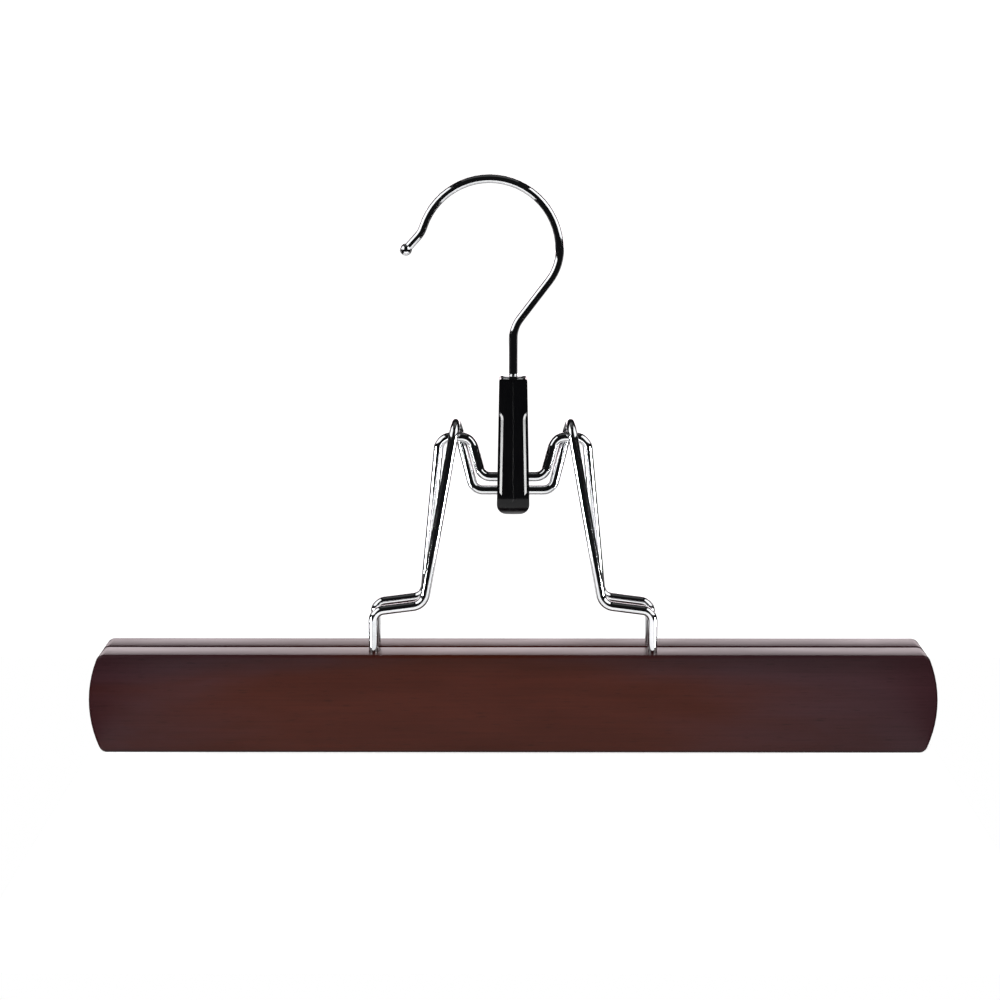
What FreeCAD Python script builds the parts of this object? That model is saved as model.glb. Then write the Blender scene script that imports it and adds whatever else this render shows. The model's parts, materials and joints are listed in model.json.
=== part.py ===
import FreeCAD, Part
import math
import os

import Sketcher
from FreeCAD import Placement, Rotation, Vector

# Skirt hanger: two felt-lined wooden bars on two interlinked wire frames, closed by a moulded lever
# that hangs from a swivelling wire hook.
# X runs along the bars, the front is -Y and +Z is up. The pieces are drawn about the hook's shank,
# with the top of the bars at height zero, and are then placed with the seat of the hook at the origin.

DIMENSIONS = (
    # Clamping bars
    ("bar_length", 300.0),
    ("bar_height", 35.6),
    ("bar_depth", 11.6),
    ("bar_end_radius", 42.0),
    ("bar_corner_radius", 3.0),
    ("bar_edge_radius", 1.0),
    # Felt strips on the inner faces of the bars
    ("felt_thickness", 1.0),
    ("felt_end_margin", 4.0),
    ("felt_edge_margin", 1.2),
    ("felt_gap", 0.2),
    # Wire of both frames, its stubs in the bars and the shoulders above them
    ("wire_diameter", 3.4),
    ("stub_half_span", 49.3),
    ("stub_depth", 14.0),
    ("stub_clearance", 0.05),
    ("shoulder_rise", 14.6),
    ("shoulder_slope_rise", 2.3),
    ("shoulder_half_span", 31.6),
    ("shoulder_bend", 3.9),
    ("leg_bend", 5.0),
    # Hinge of the two frames: arches of the rear wire inside hairpins of the front wire
    ("hinge_rise", 75.8),
    ("arch_outer_half_span", 25.8),
    ("arch_inner_half_span", 14.8),
    ("arch_bend", 4.5),
    ("eye_clearance", 1.6),
    ("pass_clearance", 0.45),
    # Cross bars of the two wires inside the lever
    ("rear_crossbar_drop", 14.1),
    ("rear_crossbar_half_span", 11.0),
    ("crossbar_web", 1.4),
    ("crossbar_bend", 4.0),
    # Travel of the lever on the rear cross bar and of the front frame on its hinge, in degrees
    ("lever_flip_angle", 70.0),
    ("jaw_open_angle", 25.0),
    # Moulded lever
    ("lever_top_width", 9.8),
    ("lever_foot_width", 11.6),
    ("lever_depth", 11.0),
    ("lever_head_height", 35.2),
    ("lever_foot_wall", 3.3),
    ("lever_lobe_radius", 4.6),
    ("lever_toe_radius", 7.6),
    ("lever_heel_radius", 3.0),
    ("lever_top_radius", 0.8),
    ("lever_ridge", 0.45),
    ("lever_seam", 0.15),
    ("pivot_clearance", 0.1),
    ("slot_clearance", 0.25),
    # Recesses that leave a narrower rib down the front and back of the lever, with the angle of their walls
    ("grip_ledge", 0.9),
    ("grip_depth", 0.85),
    ("grip_wall_angle", 55.0),
    ("grip_top_drop", 9.6),
    ("grip_foot_rise", 7.6),
    ("grip_runout_radius", 4.6),
    # Pegs that locate one half of the lever on the other
    ("peg_diameter", 3.0),
    ("peg_length", 2.6),
    ("peg_clearance", 0.05),
    ("peg_margin", 4.0),
    # Swivel in the head of the lever
    ("bush_flange_diameter", 8.9),
    ("bush_flange_thickness", 0.9),
    ("bush_flange_radius", 0.3),
    ("bush_diameter", 5.4),
    ("bush_length", 6.0),
    ("bush_clearance", 0.05),
    ("swivel_clearance", 0.1),
    ("washer_diameter", 7.2),
    ("washer_thickness", 0.8),
    ("head_diameter", 6.2),
    ("head_thickness", 1.8),
    ("cavity_clearance", 0.4),
    # Hook, measured on the centre line of its wire, with its angles in degrees
    ("hook_wire_diameter", 3.0),
    ("hook_radius", 24.2),
    ("hook_offset", 8.2),
    ("hook_neck_radius", 18.0),
    ("hook_slope_angle", 37.4),
    ("hook_foot_radius", 11.0),
    ("shank_rise", 13.8),
    ("hook_sweep_angle", 161.7),
    ("tip_bend_radius", 9.0),
    ("tip_flare_angle", 24.0),
    ("tip_length", 6.0),
    ("tip_ball_diameter", 4.2),
    # Length by which every cut runs past the piece that it cuts
    ("overrun", 3.0),
)


class Size:
    """A sheet value, or a sum of them, with the expression that binds a property to it."""

    def __init__(self, number, text):
        self.number = float(number)
        self.text = text

    def __float__(self):
        return self.number

    def __add__(self, other):
        return Size(self.number + float(other), f"({self.text} + {text_of(other)})")

    def __sub__(self, other):
        return Size(self.number - float(other), f"({self.text} - {text_of(other)})")

    def __mul__(self, factor):
        return Size(self.number * float(factor), f"({self.text} * {text_of(factor)})")

    def __truediv__(self, divisor):
        return Size(self.number / float(divisor), f"({self.text} / {text_of(divisor)})")

    def __neg__(self):
        return Size(-self.number, f"(-{self.text})")


def text_of(value):
    return value.text if isinstance(value, Size) else str(value)


def make_sheet(doc):
    """Write the driving dimensions to the sheet and return each of them as a Size."""
    sheet = doc.addObject("Spreadsheet::Sheet", "dimensions")
    for row, (alias, number) in enumerate(DIMENSIONS, start=1):
        sheet.set(f"A{row}", alias)
        sheet.set(f"B{row}", str(number))
        sheet.setAlias(f"B{row}", alias)
    doc.recompute()
    return {alias: Size(sheet.get(alias), f"dimensions.{alias}") for alias, number in DIMENSIONS}


doc = FreeCAD.newDocument("skirt_hanger")
size = make_sheet(doc)

# Heights and reaches that several pieces share
wire_radius = size["wire_diameter"] / 2
bar_offset = size["felt_gap"] / 2 + size["felt_thickness"] + size["bar_depth"] / 2
felt_offset = size["felt_gap"] / 2 + size["felt_thickness"] / 2
pivot_height = size["hinge_rise"] - size["rear_crossbar_drop"]
crossbar_spacing = size["wire_diameter"] + size["crossbar_web"]
front_crossbar_drop = size["rear_crossbar_drop"] + crossbar_spacing
eye_reach = size["wire_diameter"] + size["eye_clearance"]
slot_radius = wire_radius + size["slot_clearance"]
pivot_radius = wire_radius + size["pivot_clearance"]
shank_radius = size["hook_wire_diameter"] / 2
swivel_radius = shank_radius + size["swivel_clearance"]
lever_top = pivot_height + size["lever_head_height"]
cavity_ceiling = lever_top - size["bush_length"]
washer_bottom = cavity_ceiling - size["washer_thickness"]
head_top = washer_bottom - size["swivel_clearance"]
head_bottom = head_top - size["head_thickness"]
cavity_floor = head_bottom - size["cavity_clearance"]


def crossbar_reach(turn):
    """Place of the front cross bar from the rear one, as the lever sees it, part way through its travel."""
    opened = math.radians(float(size["jaw_open_angle"]) * turn)
    flipped = math.radians(float(size["lever_flip_angle"]) * turn)
    drop = float(front_crossbar_drop)
    forward = drop * math.sin(opened)
    below = drop * math.cos(opened) - float(size["rear_crossbar_drop"])
    across = below * math.sin(flipped) - forward * math.cos(flipped)
    along = -forward * math.sin(flipped) - below * math.cos(flipped)
    return Vector(across, along, 0)


slot_reach = Size(
    crossbar_reach(1.0).Length,
    f"sqrt({front_crossbar_drop.text}^2 + {size['rear_crossbar_drop'].text}^2"
    f" - 2 * {front_crossbar_drop.text} * {size['rear_crossbar_drop'].text}"
    f" * cos({size['jaw_open_angle'].text}))",
)
lever_foot = pivot_height - slot_reach - slot_radius - size["lever_foot_wall"]


def hook_bends():
    """Slope of the hook, its reach to the side, and the heights of its foot and of its round's centre."""
    slope = math.radians(float(size["hook_slope_angle"]))
    foot_radius = float(size["hook_foot_radius"])
    neck_radius = float(size["hook_neck_radius"])
    side = float(size["hook_radius"] - size["hook_offset"])
    run = (side - (foot_radius + neck_radius) * (1 - math.cos(slope))) / math.sin(slope)
    foot_height = float(lever_top + size["shank_rise"])
    neck_height = foot_height + foot_radius * math.sin(slope) + run * math.cos(slope)
    return slope, side, foot_height, neck_height + neck_radius * math.sin(slope)


hook_center_height = hook_bends()[3]
seat = Vector(-float(size["hook_offset"]), 0, hook_center_height + float(size["hook_radius"] - shank_radius))


def place(piece, across=0):
    """Put a piece in the frame of the seat, moved across the jaws by its own share of their depth."""
    piece.Placement = Placement(Vector(0, float(across), 0) - seat, Rotation())


def bind(feature, name, value):
    feature.setExpression(name, text_of(value))


def new_body(label):
    body = doc.addObject("PartDesign::Body", label)
    body.Label = label
    return body


def new_sketch(body, name, role):
    sketch = body.newObject("Sketcher::SketchObject", f"{body.Label}_{name}")
    plane = next(item for item in body.Origin.OriginFeatures if item.Role == role)
    sketch.AttachmentSupport = [(plane, "")]
    sketch.MapMode = "FlatFace"
    return sketch


def bind_datum(sketch, constraint, name, text):
    sketch.renameConstraint(sketch.addConstraint(constraint), name)
    sketch.setExpression(f"Constraints.{name}", text)


def bind_distance(sketch, kind, geometry, vertex, name, value):
    """Fix a point of a sketch at a distance from the sketch's origin, to either side."""
    if float(value) == 0:
        axis = {"DistanceX": -2, "DistanceY": -1}[kind]
        sketch.addConstraint(Sketcher.Constraint("PointOnObject", geometry, vertex, axis))
    elif float(value) > 0:
        rule = Sketcher.Constraint(kind, -1, 1, geometry, vertex, float(value))
        bind_datum(sketch, rule, f"{name}_{kind}", text_of(value))
    else:
        rule = Sketcher.Constraint(kind, geometry, vertex, -1, 1, -float(value))
        bind_datum(sketch, rule, f"{name}_{kind}", f"-{text_of(value)}")


def bind_place(sketch, geometry, vertex, name, across, along):
    bind_distance(sketch, "DistanceX", geometry, vertex, name, across)
    bind_distance(sketch, "DistanceY", geometry, vertex, name, along)


def rounded_outline(sketch, corners):
    """Close an outline through corners, each with its two distances and its rounding, or None."""
    count = len(corners)
    places = [Vector(float(across), float(along), 0) for across, along, rounding in corners]
    ends = []
    for index, (across, along, rounding) in enumerate(corners):
        back = (places[index - 1] - places[index]).normalize()
        onward = (places[(index + 1) % count] - places[index]).normalize()
        half = back.getAngle(onward) / 2
        reach = float(rounding) / math.tan(half) if rounding else 0
        ends.append((places[index] + back * reach, places[index] + onward * reach, back, onward, half))
    lines = []
    for index in range(count):
        following = ends[(index + 1) % count]
        lines.append(sketch.addGeometry(Part.LineSegment(ends[index][1], following[0])))
    for index, (across, along, rounding) in enumerate(corners):
        arriving = lines[index - 1]
        leaving = lines[index]
        name = f"corner{leaving}"
        if not rounding:
            sketch.addConstraint(Sketcher.Constraint("Coincident", arriving, 2, leaving, 1))
            bind_place(sketch, leaving, 1, name, across, along)
            continue
        start, end, back, onward, half = ends[index]
        center = places[index] + (back + onward).normalize() * (float(rounding) / math.sin(half))
        left_turn = back.cross(onward).z < 0
        first, last = (start, end) if left_turn else (end, start)
        circle = Part.Circle(center, Vector(0, 0, 1), float(rounding))
        arc = Part.ArcOfCircle(circle, circle.parameter(first), circle.parameter(last))
        bend = sketch.addGeometry(arc)
        point = sketch.addGeometry(Part.Point(places[index]), True)
        enter, leave = (1, 2) if left_turn else (2, 1)
        sketch.addConstraint(Sketcher.Constraint("Tangent", arriving, 2, bend, enter))
        sketch.addConstraint(Sketcher.Constraint("Tangent", bend, leave, leaving, 1))
        sketch.addConstraint(Sketcher.Constraint("PointOnObject", point, 1, arriving))
        sketch.addConstraint(Sketcher.Constraint("PointOnObject", point, 1, leaving))
        bind_place(sketch, point, 1, name, across, along)
        rule = Sketcher.Constraint("Radius", bend, float(rounding))
        bind_datum(sketch, rule, f"{name}_rounding", text_of(rounding))


def circle_outline(sketch, name, across, along, radius):
    center = Vector(float(across), float(along), 0)
    circle = sketch.addGeometry(Part.Circle(center, Vector(0, 0, 1), float(radius)))
    bind_place(sketch, circle, 3, name, across, along)
    rule = Sketcher.Constraint("Radius", circle, float(radius))
    bind_datum(sketch, rule, f"{name}_radius", text_of(radius))


def pad(body, sketch, length, side="Symmetric"):
    feature = body.newObject("PartDesign::Pad", f"{sketch.Name}_pad")
    feature.Profile = sketch
    feature.SideType = side
    bind(feature, "Length", length)
    doc.recompute()
    return feature


def pocket(body, sketch, length, side="Symmetric", reverse=False):
    """Cut a sketch into its body and make sure that the cut took something away."""
    before = body.Shape.Volume
    feature = body.newObject("PartDesign::Pocket", f"{sketch.Name}_pocket")
    feature.Profile = sketch
    feature.SideType = side
    feature.Reversed = reverse
    bind(feature, "Length", length)
    doc.recompute()
    if not body.Shape.Volume < before:
        raise ValueError(f"{sketch.Name} cuts nothing")
    return feature


def revolve(body, sketch, kind):
    """Revolve a sketch about the upright axis, as a solid or as a cut."""
    feature = body.newObject(kind, f"{sketch.Name}_turned")
    feature.Profile = sketch
    feature.ReferenceAxis = (sketch, ["V_Axis"])
    feature.Angle = 360
    doc.recompute()
    return feature


def round_edges(body, name, radius, chosen):
    """Round those edges of a body that pass a test on their points."""
    names = []
    for number, edge in enumerate(body.Tip.Shape.Edges, start=1):
        if chosen(edge.discretize(Number=3)):
            names.append(f"Edge{number}")
    base = body.Tip
    feature = body.newObject("PartDesign::Fillet", f"{body.Label}_{name}")
    feature.Base = (base, names)
    bind(feature, "Radius", radius)
    doc.recompute()


def bowed_outline(sketch, length, height, top):
    """A bar's outline: straight along the top and bottom, with ends that bow outwards."""
    radius = size["bar_end_radius"]
    center_place = length / 2 - radius
    center_height = -(height / 2) + top
    half_turn = math.asin(float(height) / 2 / float(radius))
    corner = float(center_place) + float(radius) * math.cos(half_turn)
    high = float(top)
    low = high - float(height)
    upper = sketch.addGeometry(Part.LineSegment(Vector(-corner, high, 0), Vector(corner, high, 0)))
    lower = sketch.addGeometry(Part.LineSegment(Vector(corner, low, 0), Vector(-corner, low, 0)))
    ends = []
    for side, middle in ((1, 0), (-1, math.pi)):
        center = Vector(side * float(center_place), float(center_height), 0)
        circle = Part.Circle(center, Vector(0, 0, 1), float(radius))
        ends.append(sketch.addGeometry(Part.ArcOfCircle(circle, middle - half_turn, middle + half_turn)))
    right, left = ends
    for first, first_vertex, second, second_vertex in (
        (upper, 2, right, 2),
        (lower, 1, right, 1),
        (lower, 2, left, 2),
        (upper, 1, left, 1),
    ):
        sketch.addConstraint(
            Sketcher.Constraint("Coincident", first, first_vertex, second, second_vertex))
    sketch.addConstraint(Sketcher.Constraint("Horizontal", upper))
    sketch.addConstraint(Sketcher.Constraint("Horizontal", lower))
    sketch.addConstraint(Sketcher.Constraint("Equal", right, left))
    bind_place(sketch, right, 3, "right_center", center_place, center_height)
    bind_place(sketch, left, 3, "left_center", -center_place, center_height)
    bind_datum(sketch, Sketcher.Constraint("Radius", right, float(radius)), "end_radius", text_of(radius))
    bind_distance(sketch, "DistanceY", upper, 1, "upper", top)
    bind_distance(sketch, "DistanceY", lower, 1, "lower", -height + top)


def runs_across(points):
    """True for an edge that runs straight from the front to the back."""
    return all(math.hypot(point.x - points[0].x, point.z - points[0].z) < Part.Precision.confusion()
               for point in points)


def clamping_bar(label, outward):
    """A wooden bar with rounded outer edges and two blind holes for the wire's stubs."""
    body = new_body(label)
    face = new_sketch(body, "face", "XZ_Plane")
    bowed_outline(face, size["bar_length"], size["bar_height"], 0)
    pad(body, face, size["bar_depth"])
    round_edges(body, "corners", size["bar_corner_radius"], runs_across)
    outer_face = outward * float(size["bar_depth"]) / 2
    round_edges(body, "edges", size["bar_edge_radius"],
                lambda points: all(math.isclose(point.y, outer_face) for point in points))
    holes = new_sketch(body, "holes", "XY_Plane")
    hole_radius = wire_radius + size["stub_clearance"]
    circle_outline(holes, "right", size["stub_half_span"], 0, hole_radius)
    circle_outline(holes, "left", -size["stub_half_span"], 0, hole_radius)
    pocket(body, holes, size["stub_depth"] + size["stub_clearance"], side="One side")
    place(body, outward * float(bar_offset))
    return body


def felt_strip(label, outward):
    """A felt strip that lies on the inner face of its bar, a little inside the bar's outline."""
    body = new_body(label)
    face = new_sketch(body, "face", "XZ_Plane")
    bowed_outline(
        face,
        size["bar_length"] - size["felt_end_margin"] * 2,
        size["bar_height"] - size["felt_edge_margin"] * 2,
        -size["felt_edge_margin"],
    )
    pad(body, face, size["felt_thickness"])
    place(body, outward * float(felt_offset))
    return body


def bent_path(points, bends):
    """A wire's centre line: straight runs through points, with an arc of its own radius at each bend."""
    edges = []
    last = points[0]
    for before, corner, after, radius in zip(points, points[1:], points[2:], bends):
        back = (before - corner).normalize()
        onward = (after - corner).normalize()
        half = back.getAngle(onward) / 2
        start = corner + back * (radius / math.tan(half))
        end = corner + onward * (radius / math.tan(half))
        inward = (back + onward).normalize()
        middle = corner + inward * (radius / math.sin(half) - radius)
        if not last.isEqual(start, Part.Precision.confusion()):
            edges.append(Part.LineSegment(last, start).toShape())
        edges.append(Part.Arc(start, middle, end).toShape())
        last = end
    edges.append(Part.LineSegment(last, points[-1]).toShape())
    return Part.Wire(edges)


def swept_wire(name, path, diameter):
    """Round wire along a path that starts upwards."""
    spine = doc.addObject("Part::Feature", f"{name}_path")
    spine.Shape = path
    section = doc.addObject("Part::Circle", f"{name}_section")
    section.Placement = Placement(path.Edges[0].Vertexes[0].Point, Rotation())
    bind(section, "Radius", diameter / 2)
    wire = doc.addObject("Part::Sweep", name)
    wire.Sections = [section]
    wire.Spine = (spine, [f"Edge{number}" for number in range(1, len(path.Edges) + 1)])
    wire.Solid = True
    doc.recompute()
    expected = path.Length * math.pi * float(diameter) ** 2 / 4
    if not math.isclose(wire.Shape.Volume, expected, rel_tol=0.001):
        raise ValueError(f"{name} has volume {wire.Shape.Volume} in place of {expected}")
    return wire


def mirrored(half):
    """The points of a whole frame from those of its left half."""
    return half + [Vector(-point.x, point.y, point.z) for point in reversed(half)]


def frame_foot(outward):
    """Stub and shoulder of a frame's left side, from the blind hole to the foot of its leg."""
    depth = outward * float(bar_offset)
    span = -float(size["stub_half_span"])
    inner_height = float(size["shoulder_rise"] + size["shoulder_slope_rise"])
    return [
        Vector(span, depth, -float(size["stub_depth"])),
        Vector(span, depth, float(size["shoulder_rise"])),
        Vector(-float(size["shoulder_half_span"]), depth, inner_height),
    ]


def rear_frame():
    """Legs up to two wide arches on the hinge line, which drop to the upper cross bar."""
    hinge = float(size["hinge_rise"])
    half = frame_foot(1) + [
        Vector(-float(size["arch_outer_half_span"]), 0, hinge),
        Vector(-float(size["arch_inner_half_span"]), 0, hinge),
        Vector(-float(size["rear_crossbar_half_span"]), 0, float(pivot_height)),
    ]
    names = ["shoulder_bend", "leg_bend", "arch_bend", "arch_bend", "crossbar_bend"]
    bends = [float(size[name]) for name in names]
    return bent_path(mirrored(half), bends + bends[::-1])


def front_frame():
    """Legs up to two hairpins over the arches, which drop behind them to the lower cross bar."""
    hinge = float(size["hinge_rise"])
    reach = float(eye_reach)
    top = hinge + reach
    # The dropping wire runs beside the arch's own inner drop, far enough off to swing past it
    drop = Vector(
        float(size["arch_inner_half_span"] - size["rear_crossbar_half_span"]),
        0,
        -float(size["rear_crossbar_drop"]),
    )
    aside = Vector(drop.z, 0, -drop.x).normalize() * float(size["wire_diameter"] + size["pass_clearance"])
    start = Vector(-float(size["arch_inner_half_span"]), 0, hinge) + aside

    def beside(height):
        return start.x + drop.x / drop.z * (height - start.z)

    low = hinge - float(front_crossbar_drop)
    half = frame_foot(-1) + [
        Vector(beside(top), -reach, top),
        Vector(beside(top), reach, top),
        Vector(beside(low), 0, low),
    ]
    # The two quarter bends of a hairpin share its width, so they meet without a straight run
    leg, front, back, foot = half[2:6]
    shares = [
        math.tan((front - leg).getAngle(back - front) / 2),
        math.tan((back - front).getAngle(foot - back) / 2),
    ]
    eye_bend = 2 * reach / sum(shares)
    bends = [
        float(size["shoulder_bend"]),
        float(size["leg_bend"]),
        eye_bend,
        eye_bend,
        float(size["crossbar_bend"]),
    ]
    return bent_path(mirrored(half), bends + bends[::-1])


def wire_frame(label, path):
    frame = swept_wire(label, path, size["wire_diameter"])
    frame.Label = label
    place(frame)
    return frame


def hook_path():
    """Shank, slope, round of the hook and flared tip as one line of straight runs and arcs."""
    slope, side, foot_height, center_height = hook_bends()
    foot_radius = float(size["hook_foot_radius"])
    neck_radius = float(size["hook_neck_radius"])
    radius = float(size["hook_radius"])
    bend_radius = float(size["tip_bend_radius"])
    sweep = math.radians(float(size["hook_sweep_angle"]))
    flare = math.radians(float(size["tip_flare_angle"]))

    def on_round(center, reach, angle):
        return center + Vector(reach * math.cos(angle), 0, reach * math.sin(angle))

    def arc(center, reach, first, last):
        places = [on_round(center, reach, angle) for angle in (first, (first + last) / 2, last)]
        return Part.Arc(*places).toShape()

    foot = Vector(foot_radius, 0, foot_height)
    neck = Vector(side - neck_radius, 0, center_height)
    middle = Vector(side - radius, 0, center_height)
    tip_bend = on_round(middle, radius + bend_radius, sweep)
    tip_start = on_round(tip_bend, bend_radius, sweep + math.pi - flare)
    heading = sweep - flare + math.pi / 2
    return Part.Wire([
        Part.LineSegment(Vector(0, 0, float(head_bottom)), Vector(0, 0, foot_height)).toShape(),
        arc(foot, foot_radius, math.pi, math.pi - slope),
        Part.LineSegment(
            on_round(foot, foot_radius, math.pi - slope), on_round(neck, neck_radius, -slope)).toShape(),
        arc(neck, neck_radius, -slope, 0),
        arc(middle, radius, 0, sweep),
        arc(tip_bend, bend_radius, sweep + math.pi, sweep + math.pi - flare),
        Part.LineSegment(tip_start, on_round(tip_start, float(size["tip_length"]), heading)).toShape(),
    ])


def wire_hook(label):
    """The bent hook with its upset head below the swivel and the small ball on its tip."""
    path = hook_path()
    wire = swept_wire(f"{label}_wire", path, size["hook_wire_diameter"])
    head = doc.addObject("Part::Cylinder", f"{label}_head")
    bind(head, "Radius", size["head_diameter"] / 2)
    bind(head, "Height", size["head_thickness"])
    bind(head, "Placement.Base.z", head_bottom)
    ball = doc.addObject("Part::Sphere", f"{label}_ball")
    bind(ball, "Radius", size["tip_ball_diameter"] / 2)
    ball.Placement = Placement(path.Edges[-1].Vertexes[1].Point, Rotation())
    hook = doc.addObject("Part::MultiFuse", label)
    hook.Shapes = [wire, head, ball]
    hook.Label = label
    place(hook)
    return hook


def swivel_bush(label):
    """Flanged bush in the head of the lever, in which the shank turns."""
    body = new_body(label)
    wall = new_sketch(body, "wall", "XZ_Plane")
    flange_top = lever_top + size["bush_flange_thickness"]
    rounded_outline(wall, [
        (swivel_radius, cavity_ceiling, None),
        (size["bush_diameter"] / 2, cavity_ceiling, None),
        (size["bush_diameter"] / 2, lever_top, None),
        (size["bush_flange_diameter"] / 2, lever_top, None),
        (size["bush_flange_diameter"] / 2, flange_top, size["bush_flange_radius"]),
        (swivel_radius, flange_top, size["bush_flange_radius"]),
    ])
    revolve(body, wall, "PartDesign::Revolution")
    place(body)
    return body


def hook_washer(label):
    """Washer between the hook's head and the shoulder inside the lever."""
    body = new_body(label)
    wall = new_sketch(body, "wall", "XZ_Plane")
    rounded_outline(wall, [
        (swivel_radius, washer_bottom, None),
        (size["washer_diameter"] / 2, washer_bottom, None),
        (size["washer_diameter"] / 2, cavity_ceiling, None),
        (swivel_radius, cavity_ceiling, None),
    ])
    revolve(body, wall, "PartDesign::Revolution")
    place(body)
    return body


def cam_slot(sketch):
    """Slot that the front cross bar follows while the lever flips, with round ends."""
    steps = 8
    lift = Vector(0, float(pivot_height), 0)
    half = float(slot_radius)
    turns = [step / steps for step in range(steps + 1)]
    spots = [crossbar_reach(turned) + lift for turned in turns]
    headings = [crossbar_reach(turned + 1 / steps) - crossbar_reach(turned - 1 / steps) for turned in turns]
    normals = [Vector(-heading.y, heading.x, 0).normalize() for heading in headings]
    walls = []
    for side in (1, -1):
        wall = Part.BSplineCurve()
        wall.interpolate([spot + normal * half * side for spot, normal in zip(spots, normals)])
        walls.append(sketch.addGeometry(wall))
    ends = []
    for spot, normal, side in ((spots[0], normals[0], 1), (spots[-1], normals[-1], -1)):
        start = math.atan2(normal.y * side, normal.x * side)
        circle = Part.Circle(spot, Vector(0, 0, 1), half)
        ends.append(sketch.addGeometry(Part.ArcOfCircle(circle, start, start + math.pi)))
    left, right = walls
    near, far = ends
    for join in ((left, 1, near, 1), (near, 2, right, 1), (right, 2, far, 1), (far, 2, left, 2)):
        sketch.addConstraint(Sketcher.Constraint("Coincident", *join))
    for end, name in ((near, "near_radius"), (far, "far_radius")):
        bind_datum(sketch, Sketcher.Constraint("Radius", end, half), name, text_of(slot_radius))


def grip_recess(body, name, side, facing):
    """Recess along one long edge of the lever, whose sloping wall curves out to the edge at the top."""
    sketch = new_sketch(body, name, "XZ_Plane")
    bind(sketch, "AttachmentOffset.Base.z", size["lever_depth"] / 2 * -facing)
    wall_slope = Size(
        math.tan(math.radians(float(size["grip_wall_angle"]))),
        f"tan({size['grip_wall_angle'].text})",
    )
    inset = size["grip_ledge"] + size["grip_depth"] * wall_slope
    low = lever_foot + size["grip_foot_rise"]
    high = lever_top - size["grip_top_drop"]
    taper = (size["lever_top_width"] - size["lever_foot_width"]) / 2 / (lever_top - lever_foot)

    def rib_edge(height):
        return (size["lever_foot_width"] / 2 + taper * (height - lever_foot) - inset) * side

    outside = size["lever_foot_width"] * side
    corners = [
        (rib_edge(low), low, None),
        (outside, low, None),
        (outside, high, None),
        (rib_edge(high), high, size["grip_runout_radius"]),
    ]
    rounded_outline(sketch, corners if side > 0 else corners[::-1])
    recess = pocket(body, sketch, size["grip_depth"], side="One side", reverse=facing > 0)
    bind(recess, "TaperAngle", -size["grip_wall_angle"])
    doc.recompute()


def lever_half(label, side):
    """One moulded half of the lever, from the seam outwards to its own side."""
    body = new_body(label)
    half_top = size["lever_top_width"] / 2 * side
    half_foot = size["lever_foot_width"] / 2 * side
    half_depth = size["lever_depth"] / 2
    past = size["overrun"]
    blank_depth = size["lever_depth"] + past * 2

    front = new_sketch(body, "front", "XZ_Plane")
    corners = [
        (0, lever_foot, None),
        (half_foot, lever_foot, size["lever_lobe_radius"]),
        (half_top, lever_top, size["lever_top_radius"]),
        (0, lever_top, None),
    ]
    rounded_outline(front, corners if side > 0 else corners[::-1])
    pad(body, front, blank_depth)

    # Side view: front and back fall away from the seam, each with its own rounding at the foot
    through = size["lever_foot_width"] * 2
    fall = size["lever_ridge"] * 2 / size["lever_foot_width"]
    for name, facing in (("toe", -1), ("heel", 1)):
        profile = new_sketch(body, name, "YZ_Plane")
        face = half_depth * facing
        beyond = -face - past * 2 * facing
        rounded_outline(profile, [
            (face + past * 2 * facing, lever_foot - past, None),
            (beyond - past * facing, lever_foot - past, None),
            (beyond - past * facing, lever_top + past, None),
            (face + past * 2 * facing, lever_top + past, None),
        ])
        rounded_outline(profile, [
            (face, lever_foot, size[f"lever_{name}_radius"]),
            (beyond, lever_foot, None),
            (beyond, lever_top, None),
            (face, lever_top, size["lever_top_radius"]),
        ])
        cut = pocket(body, profile, through)
        cut.UseCustomVector = True
        cut.Direction = Vector(1, 0, 0)
        bind(cut, "Direction.y", fall * (-facing * side))
        doc.recompute()

    # The seam shows as a fine groove between the halves
    groove = new_sketch(body, "groove", "XY_Plane")
    seam = size["lever_seam"]
    for facing in (-1, 1):
        face = half_depth * facing
        outside = face + past * facing
        rounded_outline(groove, [
            (past * -side, face - seam * facing, None),
            (0, face - seam * facing, None),
            (seam * side, face, None),
            (seam * side, outside, None),
            (past * -side, outside, None),
        ])
    pocket(body, groove, (lever_top + past) * 2)
    grip_recess(body, "front_grip", side, -1)
    grip_recess(body, "rear_grip", side, 1)

    bores = new_sketch(body, "pivot", "YZ_Plane")
    circle_outline(bores, "pivot", 0, pivot_height, pivot_radius)
    pocket(body, bores, through)
    slot = new_sketch(body, "slot", "YZ_Plane")
    cam_slot(slot)
    pocket(body, slot, through)

    # Bore for the bush, with a wider cavity below it for the washer and the hook's head
    bore = new_sketch(body, "bore", "XZ_Plane")
    bore_radius = size["bush_diameter"] / 2 + size["bush_clearance"]
    cavity_radius = size["washer_diameter"] / 2 + size["cavity_clearance"]
    rounded_outline(bore, [
        (0, cavity_floor, None),
        (cavity_radius, cavity_floor, None),
        (cavity_radius, cavity_ceiling, None),
        (bore_radius, cavity_ceiling, None),
        (bore_radius, lever_top + past, None),
        (0, lever_top + past, None),
    ])
    revolve(body, bore, "PartDesign::Groove")

    # Pegs on the left half press into sockets of the right half
    peg_radius = size["peg_diameter"] / 2
    pegs = new_sketch(body, "pegs", "YZ_Plane")
    radius = peg_radius if side < 0 else peg_radius + size["peg_clearance"]
    circle_outline(pegs, "low", 0, pivot_height + pivot_radius + size["peg_margin"], radius)
    circle_outline(pegs, "high", 0, cavity_floor - size["peg_margin"], radius)
    if side < 0:
        pad(body, pegs, size["peg_length"], side="One side")
    else:
        pocket(body, pegs, size["peg_length"] + size["peg_clearance"], side="One side", reverse=True)
    place(body)
    return body


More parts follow.
